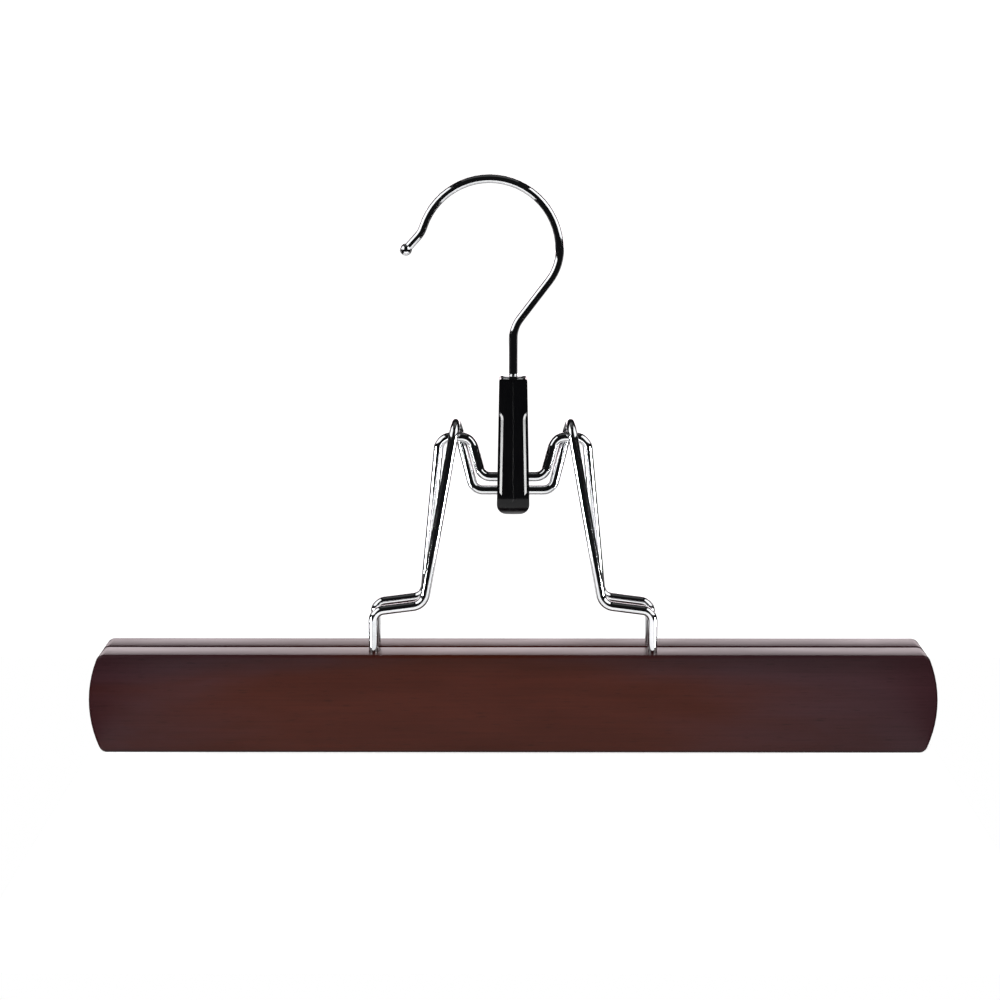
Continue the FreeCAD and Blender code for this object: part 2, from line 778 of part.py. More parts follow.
parts = [
    clamping_bar("front_bar", -1),
    clamping_bar("rear_bar", 1),
    felt_strip("front_felt", -1),
    felt_strip("rear_felt", 1),
    wire_frame("front_wire_frame", front_frame()),
    wire_frame("rear_wire_frame", rear_frame()),
    wire_hook("hook"),
    lever_half("lever_left_half", -1),
    lever_half("lever_right_half", 1),
    swivel_bush("swivel_bush"),
    hook_washer("hook_washer"),
]
doc.recompute()

for item in doc.Objects:
    if "Invalid" in item.State or "Error" in item.State:
        raise ValueError(f"{item.Label} is {item.State}")
for piece in parts:
    if piece.Shape.isNull() or not piece.Shape.isValid():
        raise ValueError(f"{piece.Label} has no valid shape")

os.makedirs("parts", exist_ok=True)
for piece in parts:
    piece.Shape.exportStep(f"parts/{piece.Label}.step")
    print(piece.Label, round(piece.Shape.Volume), piece.Shape.BoundBox)
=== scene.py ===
import json
import math

import bpy
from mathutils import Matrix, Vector


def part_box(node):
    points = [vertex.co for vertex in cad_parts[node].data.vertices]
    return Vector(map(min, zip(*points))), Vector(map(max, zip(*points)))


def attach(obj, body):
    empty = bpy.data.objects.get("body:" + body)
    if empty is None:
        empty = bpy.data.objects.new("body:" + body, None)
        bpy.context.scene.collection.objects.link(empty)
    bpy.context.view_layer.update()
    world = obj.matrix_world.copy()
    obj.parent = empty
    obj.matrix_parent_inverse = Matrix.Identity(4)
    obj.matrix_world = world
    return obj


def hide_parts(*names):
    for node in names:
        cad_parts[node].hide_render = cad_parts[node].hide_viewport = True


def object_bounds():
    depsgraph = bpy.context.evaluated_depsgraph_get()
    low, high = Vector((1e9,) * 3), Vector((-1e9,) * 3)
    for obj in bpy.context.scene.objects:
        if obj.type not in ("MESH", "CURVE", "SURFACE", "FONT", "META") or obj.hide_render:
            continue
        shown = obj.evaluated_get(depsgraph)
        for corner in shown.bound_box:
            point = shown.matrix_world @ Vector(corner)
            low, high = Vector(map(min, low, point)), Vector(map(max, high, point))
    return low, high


# Skirt hanger: stained wooden clamping bars lined with felt, on two interlinked chrome wires that a
# black moulded lever locks under a swivelling hook. The front is -Y and +Z is up.

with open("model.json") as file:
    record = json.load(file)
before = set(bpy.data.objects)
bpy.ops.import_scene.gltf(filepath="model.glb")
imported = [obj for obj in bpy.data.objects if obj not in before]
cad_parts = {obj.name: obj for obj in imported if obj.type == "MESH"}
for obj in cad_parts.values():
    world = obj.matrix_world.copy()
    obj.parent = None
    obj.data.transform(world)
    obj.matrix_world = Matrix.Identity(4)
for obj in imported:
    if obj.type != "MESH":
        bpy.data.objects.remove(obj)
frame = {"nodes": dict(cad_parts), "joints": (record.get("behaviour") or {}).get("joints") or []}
cad_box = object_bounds()
MM = 0.001

# Places that the frame gives: the shank's axis, the upper cross bar and the line where the wires hinge
joint_places = {joint["name"]: Vector(joint["pos_m"]) for joint in frame["joints"]}
shank = joint_places["hook_swivel"]
crossbar = joint_places["lever_flip"]
hinge = joint_places["front_open"]
bar_low, bar_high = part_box("front_bar")
bar_middle = (bar_low + bar_high) / 2
bar_top = bar_high.z

# Wire of the two frames, in the same sizes as the solids
WIRE_RADIUS = 1.7 * MM
SHOULDER_RISE = 14.6 * MM
SHOULDER_SLOPE_RISE = 2.3 * MM
SHOULDER_HALF_SPAN = 31.6 * MM
SHOULDER_BEND = 3.9 * MM
LEG_BEND = 5.0 * MM
ARCH_OUTER_HALF_SPAN = 25.8 * MM
ARCH_INNER_HALF_SPAN = 14.8 * MM
ARCH_BEND = 4.5 * MM
EYE_REACH = 5.0 * MM
PASS_CLEARANCE = 0.45 * MM
CROSSBAR_HALF_SPAN = 11.0 * MM
CROSSBAR_SPACING = 4.8 * MM
CROSSBAR_BEND = 4.0 * MM

# Hook, on the centre line of its wire
HOOK_WIRE_RADIUS = 1.5 * MM
HOOK_RADIUS = 24.2 * MM
HOOK_NECK_RADIUS = 18.0 * MM
HOOK_FOOT_RADIUS = 11.0 * MM
HOOK_SLOPE = math.radians(37.4)
HOOK_SWEEP = math.radians(161.7)
SHANK_RISE = 13.8 * MM
HEAD_RADIUS = 3.1 * MM
HEAD_THICKNESS = 1.8 * MM
TIP_BEND_RADIUS = 9.0 * MM
TIP_FLARE = math.radians(24.0)
TIP_LENGTH = 6.0 * MM
TIP_BALL_RADIUS = 2.1 * MM

# How finely wire is drawn, and the small chamfer on its cut ends
WIRE_SIDES = 32
BEND_STEP = math.radians(6.0)
BALL_RINGS = 14
CUT_CHAMFER = 0.4 * MM
WIRE_SMOOTH = math.radians(32)
WIRE_WELD = 0.001 * MM
UP = Vector((0, 0, 1))

# Felt strips
FELT_END_RADIUS = 42.0 * MM
FELT_CELL = 1.6 * MM
FELT_NAP = 0.1 * MM
FELT_NAP_WIDTH = 1.4 * MM
FELT_SMOOTH = math.radians(60)

# Colour of the bars, in distances along the bar, and the crown of their narrow faces
COLOUR_WARMEST_LEFT = 19 * MM
COLOUR_WANDER = 90 * MM
COLOUR_EDGE_SHIFT = 55 * MM
COLOUR_TURN_START = 105 * MM
COLOUR_TURN_END = 205 * MM
CROWN_RADIUS = 60.0 * MM

# Moulded edges of the lever, and how a copy of its solids is joined up again
LEVER_EDGE_RADIUS = 0.22 * MM
LEVER_EDGE_SEGMENTS = 3
LEVER_EDGE_ANGLE = math.radians(20)
LEVER_FLAT_ANGLE = math.radians(1.0)
LEVER_SMOOTH = math.radians(35)
LEVER_WELD = 0.002 * MM


def linear(code):
    """The linear colour of an sRGB hex value."""
    channels = [int(code[place:place + 2], 16) / 255 for place in (1, 3, 5)]
    bent = [c / 12.92 if c <= 0.04045 else ((c + 0.055) / 1.055) ** 2.4 for c in channels]
    return (*bent, 1.0)


def per(width):
    """How many times a pattern of this width in millimetres repeats in a metre."""
    return 1 / (width * MM)


def add(tree, kind, links, **settings):
    """Add a node, set its own values, and link or set its inputs."""
    node = tree.nodes.new(kind)
    for name, value in settings.items():
        setattr(node, name, value)
    for name, source in links.items():
        if isinstance(source, bpy.types.NodeSocket):
            tree.links.new(source, node.inputs[name])
        else:
            node.inputs[name].default_value = source
    return node


def new_material(name):
    """An empty material, its node tree and the coordinates of the piece that wears it."""
    material = bpy.data.materials.new(name)
    material.use_nodes = True
    tree = material.node_tree
    tree.nodes.clear()
    coordinates = add(tree, "ShaderNodeTexCoord", {})
    return material, tree, coordinates.outputs["Object"]


def show(tree, shader):
    """Put a finished shader on the material's surface."""
    add(tree, "ShaderNodeOutputMaterial", {"Surface": shader.outputs[0]})


def chrome_plate(name, bright, dull):
    """Nickel and chrome plate on drawn wire or a turned bush.

    It gives a hard mirror with faint ripples and a few dull smudges."""
    material, tree, place = new_material(name)
    smudge = add(tree, "ShaderNodeTexNoise", {"Vector": place, "Scale": per(9), "Detail": 3.0})
    colour = add(tree, "ShaderNodeValToRGB", {"Fac": smudge.outputs["Fac"]})
    colour.color_ramp.elements[0].position = 0.35
    colour.color_ramp.elements[0].color = linear(dull)
    colour.color_ramp.elements[1].position = 0.6
    colour.color_ramp.elements[1].color = linear(bright)
    gloss = add(tree, "ShaderNodeMapRange", {
        "Value": smudge.outputs["Fac"], "From Min": 0.3, "From Max": 0.7, "To Min": 0.1, "To Max": 0.045})
    ripple = add(tree, "ShaderNodeTexNoise", {"Vector": place, "Scale": per(2.2), "Detail": 1.0})
    bump = add(tree, "ShaderNodeBump", {
        "Height": ripple.outputs["Fac"], "Strength": 0.15, "Distance": 0.02 * MM})
    show(tree, add(tree, "ShaderNodeBsdfPrincipled", {
        "Base Color": colour.outputs["Color"],
        "Metallic": 1.0,
        "Roughness": gloss.outputs["Result"],
        "Normal": bump.outputs["Normal"],
    }))
    return material


def zinc_plated_steel(name):
    """Stamped washer with a plain plated finish: grey, with fine cloudy mottling and no mirror."""
    material, tree, place = new_material(name)
    cloud = add(tree, "ShaderNodeTexNoise", {"Vector": place, "Scale": per(1.2), "Detail": 4.0})
    colour = add(tree, "ShaderNodeValToRGB", {"Fac": cloud.outputs["Fac"]})
    colour.color_ramp.elements[0].color = linear("#8b8d8f")
    colour.color_ramp.elements[1].color = linear("#c6c8ca")
    show(tree, add(tree, "ShaderNodeBsdfPrincipled", {
        "Base Color": colour.outputs["Color"],
        "Metallic": 1.0,
        "Roughness": 0.35,
    }))
    return material


def glossy_black_abs(name):
    """ABS moulded in a polished tool: deep black gloss, slightly wavy, with hairline rub marks."""
    material, tree, place = new_material(name)
    wave = add(tree, "ShaderNodeTexNoise", {"Vector": place, "Scale": per(7), "Detail": 2.0})
    # Real rub marks are finer than this, and are drawn as coarse as they need to show
    rub_place = add(tree, "ShaderNodeMapping", {
        "Vector": place, "Rotation": (0, math.radians(12), 0), "Scale": (per(0.5), per(0.5), per(9))})
    rub = add(tree, "ShaderNodeTexNoise", {
        "Vector": rub_place.outputs["Vector"], "Scale": 1.0, "Detail": 3.0})
    gloss = add(tree, "ShaderNodeMapRange", {
        "Value": rub.outputs["Fac"], "From Min": 0.45, "From Max": 0.75, "To Min": 0.16, "To Max": 0.24})
    colour = add(tree, "ShaderNodeValToRGB", {"Fac": wave.outputs["Fac"]})
    colour.color_ramp.elements[0].color = linear("#030304")
    colour.color_ramp.elements[1].color = linear("#070708")
    bump = add(tree, "ShaderNodeBump", {
        "Height": wave.outputs["Fac"], "Strength": 0.2, "Distance": 0.05 * MM})
    show(tree, add(tree, "ShaderNodeBsdfPrincipled", {
        "Base Color": colour.outputs["Color"],
        "IOR": 1.53,
        "Specular IOR Level": 0.2,
        "Roughness": gloss.outputs["Result"],
        "Normal": bump.outputs["Normal"],
    }))
    return material


def stained_lacquered_wood(name):
    """Close-grained hardwood under red-brown stain and satin lacquer.

    Fibres run along the bar, the colour is warm in the middle and turns darker and more purple towards
    the ends and along the top edge, it is a little darker towards the bottom, its rounded bottom edge is
    darkened with painted shade where it stands on the floor, and the lacquer gives a soft sheen at low
    angles."""
    material, tree, place = new_material(name)
    from_middle = add(tree, "ShaderNodeMapping", {
        "Vector": place, "Location": (-bar_middle.x, 0, -bar_top)})
    axes = add(tree, "ShaderNodeSeparateXYZ", {"Vector": from_middle.outputs["Vector"]})

    figure_place = add(tree, "ShaderNodeMapping", {"Vector": place, "Scale": (per(48), per(13), per(13))})
    figure = add(tree, "ShaderNodeTexNoise", {
        "Vector": figure_place.outputs["Vector"], "Scale": 1.0, "Detail": 3.0, "Distortion": 0.6})
    fibre_place = add(tree, "ShaderNodeMapping", {
        "Vector": place, "Scale": (per(38), per(0.8), per(0.8))})
    fibre = add(tree, "ShaderNodeTexNoise", {
        "Vector": fibre_place.outputs["Vector"], "Scale": 1.0, "Detail": 4.0, "Roughness": 0.6})
    # Real pores are half as wide as this, and are drawn as coarse as they need to show
    pore_place = add(tree, "ShaderNodeMapping", {"Vector": place, "Scale": (per(6), per(0.4), per(0.4))})
    pore = add(tree, "ShaderNodeTexNoise", {
        "Vector": pore_place.outputs["Vector"], "Scale": 1.0, "Detail": 1.0})

    # The colour is warmest a little to the left of the middle
    from_warmest = add(tree, "ShaderNodeMath", {
        0: axes.outputs["X"], 1: COLOUR_WARMEST_LEFT}, operation="ADD")
    reach = add(tree, "ShaderNodeMath", {0: from_warmest.outputs[0]}, operation="ABSOLUTE")
    wander = add(tree, "ShaderNodeMath", {
        0: figure.outputs["Fac"], 1: COLOUR_WANDER}, operation="MULTIPLY")
    uneven_reach = add(tree, "ShaderNodeMath", {
        0: reach.outputs[0], 1: wander.outputs[0]}, operation="ADD")
    # Near the top edge it turns sooner
    edge_shift = add(tree, "ShaderNodeMapRange", {
        "Value": axes.outputs["Z"], "From Min": -13 * MM, "From Max": -1 * MM,
        "To Max": COLOUR_EDGE_SHIFT}, interpolation_type="SMOOTHSTEP")
    shifted_reach = add(tree, "ShaderNodeMath", {
        0: uneven_reach.outputs[0], 1: edge_shift.outputs["Result"]}, operation="ADD")
    towards_end = add(tree, "ShaderNodeMapRange", {
        "Value": shifted_reach.outputs[0], "From Min": COLOUR_TURN_START,
        "From Max": COLOUR_TURN_END}, interpolation_type="SMOOTHSTEP")
    # The colour turns darker and more purple towards the ends
    stain = add(tree, "ShaderNodeMix", {
        "Factor": towards_end.outputs["Result"], "A": linear("#451a0e"), "B": linear("#3c2227")},
        data_type="RGBA")

    # It is darker under the top edge and towards the bottom, and the rounded bottom edge is darkened with
    # painted shade where the bar stands on the floor
    top_tone = add(tree, "ShaderNodeMapRange", {
        "Value": axes.outputs["Z"], "From Min": -9 * MM, "From Max": -1 * MM,
        "To Min": 1.0, "To Max": 0.72}, interpolation_type="SMOOTHSTEP")
    lower_tone = add(tree, "ShaderNodeMapRange", {
        "Value": axes.outputs["Z"], "From Min": -34 * MM, "From Max": -15 * MM,
        "To Min": 0.86, "To Max": 1.0}, interpolation_type="SMOOTHSTEP")
    figure_tone = add(tree, "ShaderNodeMapRange", {
        "Value": figure.outputs["Fac"], "From Min": 0.3, "From Max": 0.7, "To Min": 0.88, "To Max": 1.1})
    fibre_tone = add(tree, "ShaderNodeMapRange", {
        "Value": fibre.outputs["Fac"], "From Min": 0.3, "From Max": 0.7, "To Min": 0.88, "To Max": 1.1})
    pore_tone = add(tree, "ShaderNodeMapRange", {
        "Value": pore.outputs["Fac"], "From Min": 0.66, "From Max": 0.74, "To Min": 1.0, "To Max": 0.7})
    bottom = bar_low.z - bar_top
    # Painted shade: the rounded bottom edge is darkened where the bar meets the floor
    floor_contact_shade = add(tree, "ShaderNodeMapRange", {
        "Value": axes.outputs["Z"], "From Min": bottom + 0.4 * MM, "From Max": bottom + 1.4 * MM,
        "To Min": 0.4, "To Max": 1.0})
    tone = top_tone.outputs["Result"]
    for part in (floor_contact_shade, lower_tone, figure_tone, fibre_tone, pore_tone):
        darker = add(tree, "ShaderNodeMath", {0: tone, 1: part.outputs["Result"]}, operation="MULTIPLY")
        tone = darker.outputs[0]
    colour = add(tree, "ShaderNodeVectorMath", {
        0: stain.outputs["Result"], "Scale": tone}, operation="SCALE")

    peel = add(tree, "ShaderNodeTexNoise", {"Vector": place, "Scale": per(2.5), "Detail": 2.0})
    level = add(tree, "ShaderNodeMath", {
        0: fibre.outputs["Fac"], 1: 0.5, 2: peel.outputs["Fac"]}, operation="MULTIPLY_ADD")
    # Sanding leaves the narrow faces slightly crowned about the middle of each bar
    depth = add(tree, "ShaderNodeMath", {0: axes.outputs["Y"]}, operation="ABSOLUTE")
    off_middle = add(tree, "ShaderNodeMath", {
        0: depth.outputs[0], 1: abs(bar_middle.y)}, operation="SUBTRACT")
    fall = add(tree, "ShaderNodeMath", {0: off_middle.outputs[0], 1: 2.0}, operation="POWER")
    crown = add(tree, "ShaderNodeMath", {
        0: fall.outputs[0], 1: -0.5 / CROWN_RADIUS}, operation="MULTIPLY")
    crown_bump = add(tree, "ShaderNodeBump", {
        "Height": crown.outputs[0], "Strength": 1.0, "Distance": 1.0})
    bump = add(tree, "ShaderNodeBump", {
        "Height": level.outputs[0], "Strength": 0.25, "Distance": 0.04 * MM,
        "Normal": crown_bump.outputs["Normal"]})
    gloss = add(tree, "ShaderNodeMapRange", {
        "Value": figure.outputs["Fac"], "From Min": 0.3, "From Max": 0.7, "To Min": 0.36, "To Max": 0.28})
    show(tree, add(tree, "ShaderNodeBsdfPrincipled", {
        "Base Color": colour.outputs["Vector"],
        "IOR": 1.48,
        "Specular IOR Level": 0.2,
        "Roughness": gloss.outputs["Result"],
        "Normal": bump.outputs["Normal"],
    }))
    return material


def pressed_wool_felt(name):
    """Pressed felt: matted fibres with no weave, nearly black, with a soft pale nap at low angles."""
    material, tree, place = new_material(name)
    mat_place = add(tree, "ShaderNodeMapping", {"Vector": place, "Scale": (per(1.1), per(1.1), per(0.5))})
    mat = add(tree, "ShaderNodeTexNoise", {
        "Vector": mat_place.outputs["Vector"], "Scale": 1.0, "Detail": 6.0, "Roughness": 0.75,
        "Distortion": 1.2})
    fleck = add(tree, "ShaderNodeTexNoise", {"Vector": place, "Scale": per(0.45), "Detail": 2.0})
    tone = add(tree, "ShaderNodeMath", {
        0: fleck.outputs["Fac"], 1: 0.4, 2: mat.outputs["Fac"]}, operation="MULTIPLY_ADD")
    colour = add(tree, "ShaderNodeValToRGB", {"Fac": tone.outputs[0]})
    colour.color_ramp.elements[0].position = 0.4
    colour.color_ramp.elements[0].color = linear("#141112")
    colour.color_ramp.elements[1].position = 0.95
    colour.color_ramp.elements[1].color = linear("#383233")
    bump = add(tree, "ShaderNodeBump", {
        "Height": tone.outputs[0], "Strength": 0.6, "Distance": 0.25 * MM})
    show(tree, add(tree, "ShaderNodeBsdfPrincipled", {
        "Base Color": colour.outputs["Color"],
        "Roughness": 0.95,
        "Normal": bump.outputs["Normal"],
        "Sheen Weight": 0.35,
        "Sheen Roughness": 0.6,
        "Specular IOR Level": 0.1,
    }))
    return material


def start_ring(name, place, radius):
    """A level ring with a flat cap, whose open edge is ready to be pulled upwards."""
    bpy.ops.object.select_all(action="DESELECT")
    bpy.ops.mesh.primitive_circle_add(
        vertices=WIRE_SIDES, radius=radius, fill_type="NGON", location=place)
    piece = bpy.context.object
    piece.name = name
    piece.data.name = name
    bpy.ops.object.transform_apply(location=True, rotation=True, scale=True)
    bpy.ops.object.mode_set(mode="EDIT")
    bpy.ops.mesh.select_mode(type="EDGE")
    return piece


def pull(run):
    """Pull the open ring of a wire along a straight run."""
    bpy.ops.mesh.extrude_edges_move(TRANSFORM_OT_translate={"value": run})


def swing(center, axis, angle):
    """Spin the open ring of a wire round a bend. The spin operator turns against the right-hand rule."""
    steps = max(2, math.ceil(angle / BEND_STEP))
    bpy.ops.mesh.spin(steps=steps, angle=angle, center=center, axis=-axis)


def narrow(center, share):
    """Widen or narrow the open ring of a wire about its centre."""
    bpy.ops.transform.resize(value=(share, share, share), center_override=center)


def end_ring(piece):
    """Cap the open ring of a wire, close its seams and shade its round sides smooth."""
    bpy.ops.mesh.edge_face_add()
    bpy.ops.mesh.select_mode(type="VERT")
    bpy.ops.mesh.select_all(action="SELECT")
    bpy.ops.mesh.remove_doubles(threshold=WIRE_WELD)
    bpy.ops.mesh.normals_make_consistent(inside=False)
    bpy.ops.object.mode_set(mode="OBJECT")
    bpy.ops.object.shade_smooth_by_angle(angle=WIRE_SMOOTH)


def dress(piece, body, slot, material, *nodes):
    """Let a finished piece ride on its body in place of its solids, in its own finish."""
    piece.data.materials.clear()
    piece.data.materials.append(material)
    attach(piece, body)
    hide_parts(*nodes)


def bent_wire(name, points, bends):
    """Wire pulled straight from point to point and spun round a bend of its own radius at each."""
    piece = start_ring(name, points[0], WIRE_RADIUS - CUT_CHAMFER)
    place = points[0] + UP * CUT_CHAMFER
    pull(place - points[0])
    narrow(place, WIRE_RADIUS / (WIRE_RADIUS - CUT_CHAMFER))
    for before, corner, after, radius in zip(points, points[1:], points[2:], bends):
        arriving = (corner - before).normalized()
        leaving = (after - corner).normalized()
        turn = arriving.angle(leaving)
        setback = radius * math.tan(turn / 2)
        bend_start = corner - arriving * setback
        inward = (leaving - arriving).normalized()
        bend_center = corner + inward * (radius / math.cos(turn / 2))
        # Bends that run into each other leave no straight between them
        if (bend_start - place).length > CUT_CHAMFER:
            pull(bend_start - place)
        swing(bend_center, arriving.cross(leaving).normalized(), turn)
        place = corner + leaving * setback
    heading = (points[-1] - points[-2]).normalized()
    pull(points[-1] - heading * CUT_CHAMFER - place)
    pull(heading * CUT_CHAMFER)
    narrow(points[-1], 1 - CUT_CHAMFER / WIRE_RADIUS)
    end_ring(piece)
    return piece


def mirrored(half):
    """The points of a whole frame from those of its left half, about the shank."""
    return half + [Vector((2 * shank.x - point.x, point.y, point.z)) for point in reversed(half)]


def frame_foot(node, bar):
    """Stub and shoulder of a frame's left side, from the hole in the bar to the foot of the leg."""
    wire_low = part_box(node)[0]
    low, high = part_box(bar)
    depth = (low.y + high.y) / 2
    stub = wire_low.x + WIRE_RADIUS
    shoulder = bar_top + SHOULDER_RISE
    return [
        Vector((stub, depth, wire_low.z)),
        Vector((stub, depth, shoulder)),
        Vector((shank.x - SHOULDER_HALF_SPAN, depth, shoulder + SHOULDER_SLOPE_RISE)),
    ]


def rear_wire_frame():
    """Legs up to two wide arches on the hinge line, which drop to the upper cross bar."""
    half = frame_foot("rear_wire_frame", "rear_bar") + [
        Vector((shank.x - ARCH_OUTER_HALF_SPAN, 0, hinge.z)),
        Vector((shank.x - ARCH_INNER_HALF_SPAN, 0, hinge.z)),
        Vector((shank.x - CROSSBAR_HALF_SPAN, 0, crossbar.z)),
    ]
    bends = [SHOULDER_BEND, LEG_BEND, ARCH_BEND, ARCH_BEND, CROSSBAR_BEND]
    return bent_wire("rear_chrome_wire", mirrored(half), bends + bends[::-1])


def front_wire_frame():
    """Legs up to two hairpins over the arches, which drop behind them to the lower cross bar."""
    top = hinge.z + EYE_REACH
    foot = crossbar.z - CROSSBAR_SPACING
    # The dropping wire runs beside the arch's own inner drop
    drop = Vector((ARCH_INNER_HALF_SPAN - CROSSBAR_HALF_SPAN, 0, crossbar.z - hinge.z))
    aside = Vector((drop.z, 0, -drop.x)).normalized() * (2 * WIRE_RADIUS + PASS_CLEARANCE)
    beside = Vector((shank.x - ARCH_INNER_HALF_SPAN, 0, hinge.z)) + aside
    slope = drop.x / drop.z
    top_place = beside.x + slope * (top - beside.z)
    foot_place = beside.x + slope * (foot - beside.z)
    half = frame_foot("front_wire_frame", "front_bar") + [
        Vector((top_place, -EYE_REACH, top)),
        Vector((top_place, EYE_REACH, top)),
        Vector((foot_place, 0, foot)),
    ]
    leg, front, back, low = half[2:6]
    turns = [(front - leg).angle(back - front), (back - front).angle(low - back)]
    eye_bend = 2 * EYE_REACH / sum(math.tan(turn / 2) for turn in turns)
    bends = [SHOULDER_BEND, LEG_BEND, eye_bend, eye_bend, CROSSBAR_BEND]
    return bent_wire("front_chrome_wire", mirrored(half), bends + bends[::-1])


def hook():
    """Upset head, shank, slope, round and flared tip with its ball, drawn as one bent wire."""
    low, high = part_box("hook")
    start = Vector((shank.x, 0, low.z))
    piece = start_ring("chrome_hook", start, HEAD_RADIUS - CUT_CHAMFER)
    outline = [
        (CUT_CHAMFER, HEAD_RADIUS),
        (HEAD_THICKNESS - CUT_CHAMFER, HEAD_RADIUS),
        (HEAD_THICKNESS, HEAD_RADIUS - CUT_CHAMFER),
        (HEAD_THICKNESS, HOOK_WIRE_RADIUS),
    ]
    height = 0
    width = HEAD_RADIUS - CUT_CHAMFER
    for next_height, next_width in outline:
        pull(UP * (next_height - height))
        narrow(start + UP * next_height, next_width / width)
        height = next_height
        width = next_width

    axis = Vector((0, 1, 0))
    foot = Vector((shank.x, 0, shank.z + SHANK_RISE))
    pull(foot - start - UP * HEAD_THICKNESS)
    swing(foot + Vector((HOOK_FOOT_RADIUS, 0, 0)), axis, HOOK_SLOPE)
    slope = Vector((math.sin(HOOK_SLOPE), 0, math.cos(HOOK_SLOPE)))
    round_center = Vector((0, 0, high.z - HOOK_RADIUS - HOOK_WIRE_RADIUS))
    neck_center = round_center + Vector((HOOK_RADIUS - HOOK_NECK_RADIUS, 0, 0))
    slope_start = foot + Vector((1 - math.cos(HOOK_SLOPE), 0, math.sin(HOOK_SLOPE))) * HOOK_FOOT_RADIUS
    slope_end = neck_center + Vector((math.cos(HOOK_SLOPE), 0, -math.sin(HOOK_SLOPE))) * HOOK_NECK_RADIUS
    pull(slope_end - slope_start)
    swing(neck_center, -axis, HOOK_SLOPE)
    swing(round_center, -axis, HOOK_SWEEP)

    outward = Vector((math.cos(HOOK_SWEEP), 0, math.sin(HOOK_SWEEP)))
    tip_center = round_center + outward * (HOOK_RADIUS + TIP_BEND_RADIUS)
    swing(tip_center, axis, TIP_FLARE)
    heading_angle = HOOK_SWEEP + math.pi / 2 - TIP_FLARE
    heading = Vector((math.cos(heading_angle), 0, math.sin(heading_angle)))
    side = Vector((math.sin(heading_angle), 0, -math.cos(heading_angle)))
    place = tip_center - side * TIP_BEND_RADIUS
    ball = place + heading * TIP_LENGTH
    latitude = math.asin(HOOK_WIRE_RADIUS / TIP_BALL_RADIUS)
    ball_start = ball - heading * TIP_BALL_RADIUS * math.cos(latitude)
    pull(ball_start - place)
    place = ball_start
    width = HOOK_WIRE_RADIUS
    for ring in range(1, BALL_RINGS):
        angle = latitude + (math.pi - latitude) * ring / BALL_RINGS
        next_place = ball - heading * TIP_BALL_RADIUS * math.cos(angle)
        next_width = TIP_BALL_RADIUS * math.sin(angle)
        pull(next_place - place)
        narrow(next_place, next_width / width)
        place = next_place
        width = next_width
    pull(ball + heading * TIP_BALL_RADIUS - place)
    bpy.ops.mesh.merge(type="CENTER")
    end_ring(piece)
    return piece


def lever_half(name, node):
    """A moulded half of the lever: the solid's own faces, with a moulding's small radius on its edges."""
    bpy.ops.object.select_all(action="DESELECT")
    solid = frame["nodes"][node]
    piece = bpy.data.objects.new(name, solid.data.copy())
    bpy.context.scene.collection.objects.link(piece)
    bpy.context.view_layer.objects.active = piece
    piece.select_set(True)
    bpy.ops.mesh.customdata_custom_splitnormals_clear()
    bpy.ops.object.mode_set(mode="EDIT")
    bpy.ops.mesh.select_all(action="SELECT")
    bpy.ops.mesh.remove_doubles(threshold=LEVER_WELD)
    bpy.ops.mesh.dissolve_limited(angle_limit=LEVER_FLAT_ANGLE)
    bpy.ops.object.mode_set(mode="OBJECT")
    edges = piece.modifiers.new("moulded_edges", "BEVEL")
    edges.width = LEVER_EDGE_RADIUS
    edges.segments = LEVER_EDGE_SEGMENTS
    edges.limit_method = "ANGLE"
    edges.angle_limit = LEVER_EDGE_ANGLE
    bpy.ops.object.modifier_apply(modifier=edges.name)
    bpy.ops.object.shade_smooth_by_angle(angle=LEVER_SMOOTH)
    # The flat faces keep their own direction, and only the small radii turn
    flat = piece.modifiers.new("flat_faces", "WEIGHTED_NORMAL")
    flat.keep_sharp = True
    bpy.ops.object.modifier_apply(modifier=flat.name)
    return piece


def felt_sheet(name, node):
    """A strip of felt glued to the inner face of its bar, with bowed ends and a soft uneven nap."""
    low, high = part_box(node)
    middle = (low + high) / 2
    size = high - low
    columns = math.ceil(size.x / FELT_CELL)
    rows = math.ceil(size.z / FELT_CELL)
    inward = 1 if middle.y < 0 else -1
    bpy.ops.object.select_all(action="DESELECT")
    bpy.ops.mesh.primitive_grid_add(
        x_subdivisions=columns, y_subdivisions=rows, size=1, location=middle,
        rotation=(math.radians(90) * inward, 0, 0))
    piece = bpy.context.object
    piece.name = name
    piece.data.name = name
    piece.scale = (size.x, size.z, 1)
    bpy.ops.object.transform_apply(location=True, rotation=True, scale=True)
    # Each row is drawn in to the bow of the ends at its height
    for point in piece.data.vertices:
        rise = point.co.z - middle.z
        bow = FELT_END_RADIUS - math.sqrt(FELT_END_RADIUS ** 2 - rise ** 2)
        point.co.x = middle.x + (point.co.x - middle.x) * (1 - 2 * bow / size.x)
    wall = piece.modifiers.new("thickness", "SOLIDIFY")
    wall.thickness = size.y - 2 * FELT_NAP
    wall.offset = 0
    bpy.ops.object.modifier_apply(modifier=wall.name)
    nap = piece.modifiers.new("nap", "DISPLACE")
    nap.texture = bpy.data.textures.new(f"{name}_nap", "CLOUDS")
    nap.texture.noise_scale = FELT_NAP_WIDTH
    nap.strength = FELT_NAP
    bpy.ops.object.modifier_apply(modifier=nap.name)
    bpy.ops.object.shade_smooth_by_angle(angle=FELT_SMOOTH)
    # A shallow bow takes a third of its depth off the length at each end
    return piece


def paint_node(node, material):
    """Give a solid that shows as it is a better finish."""
    frame["nodes"][node].data.materials[0] = material


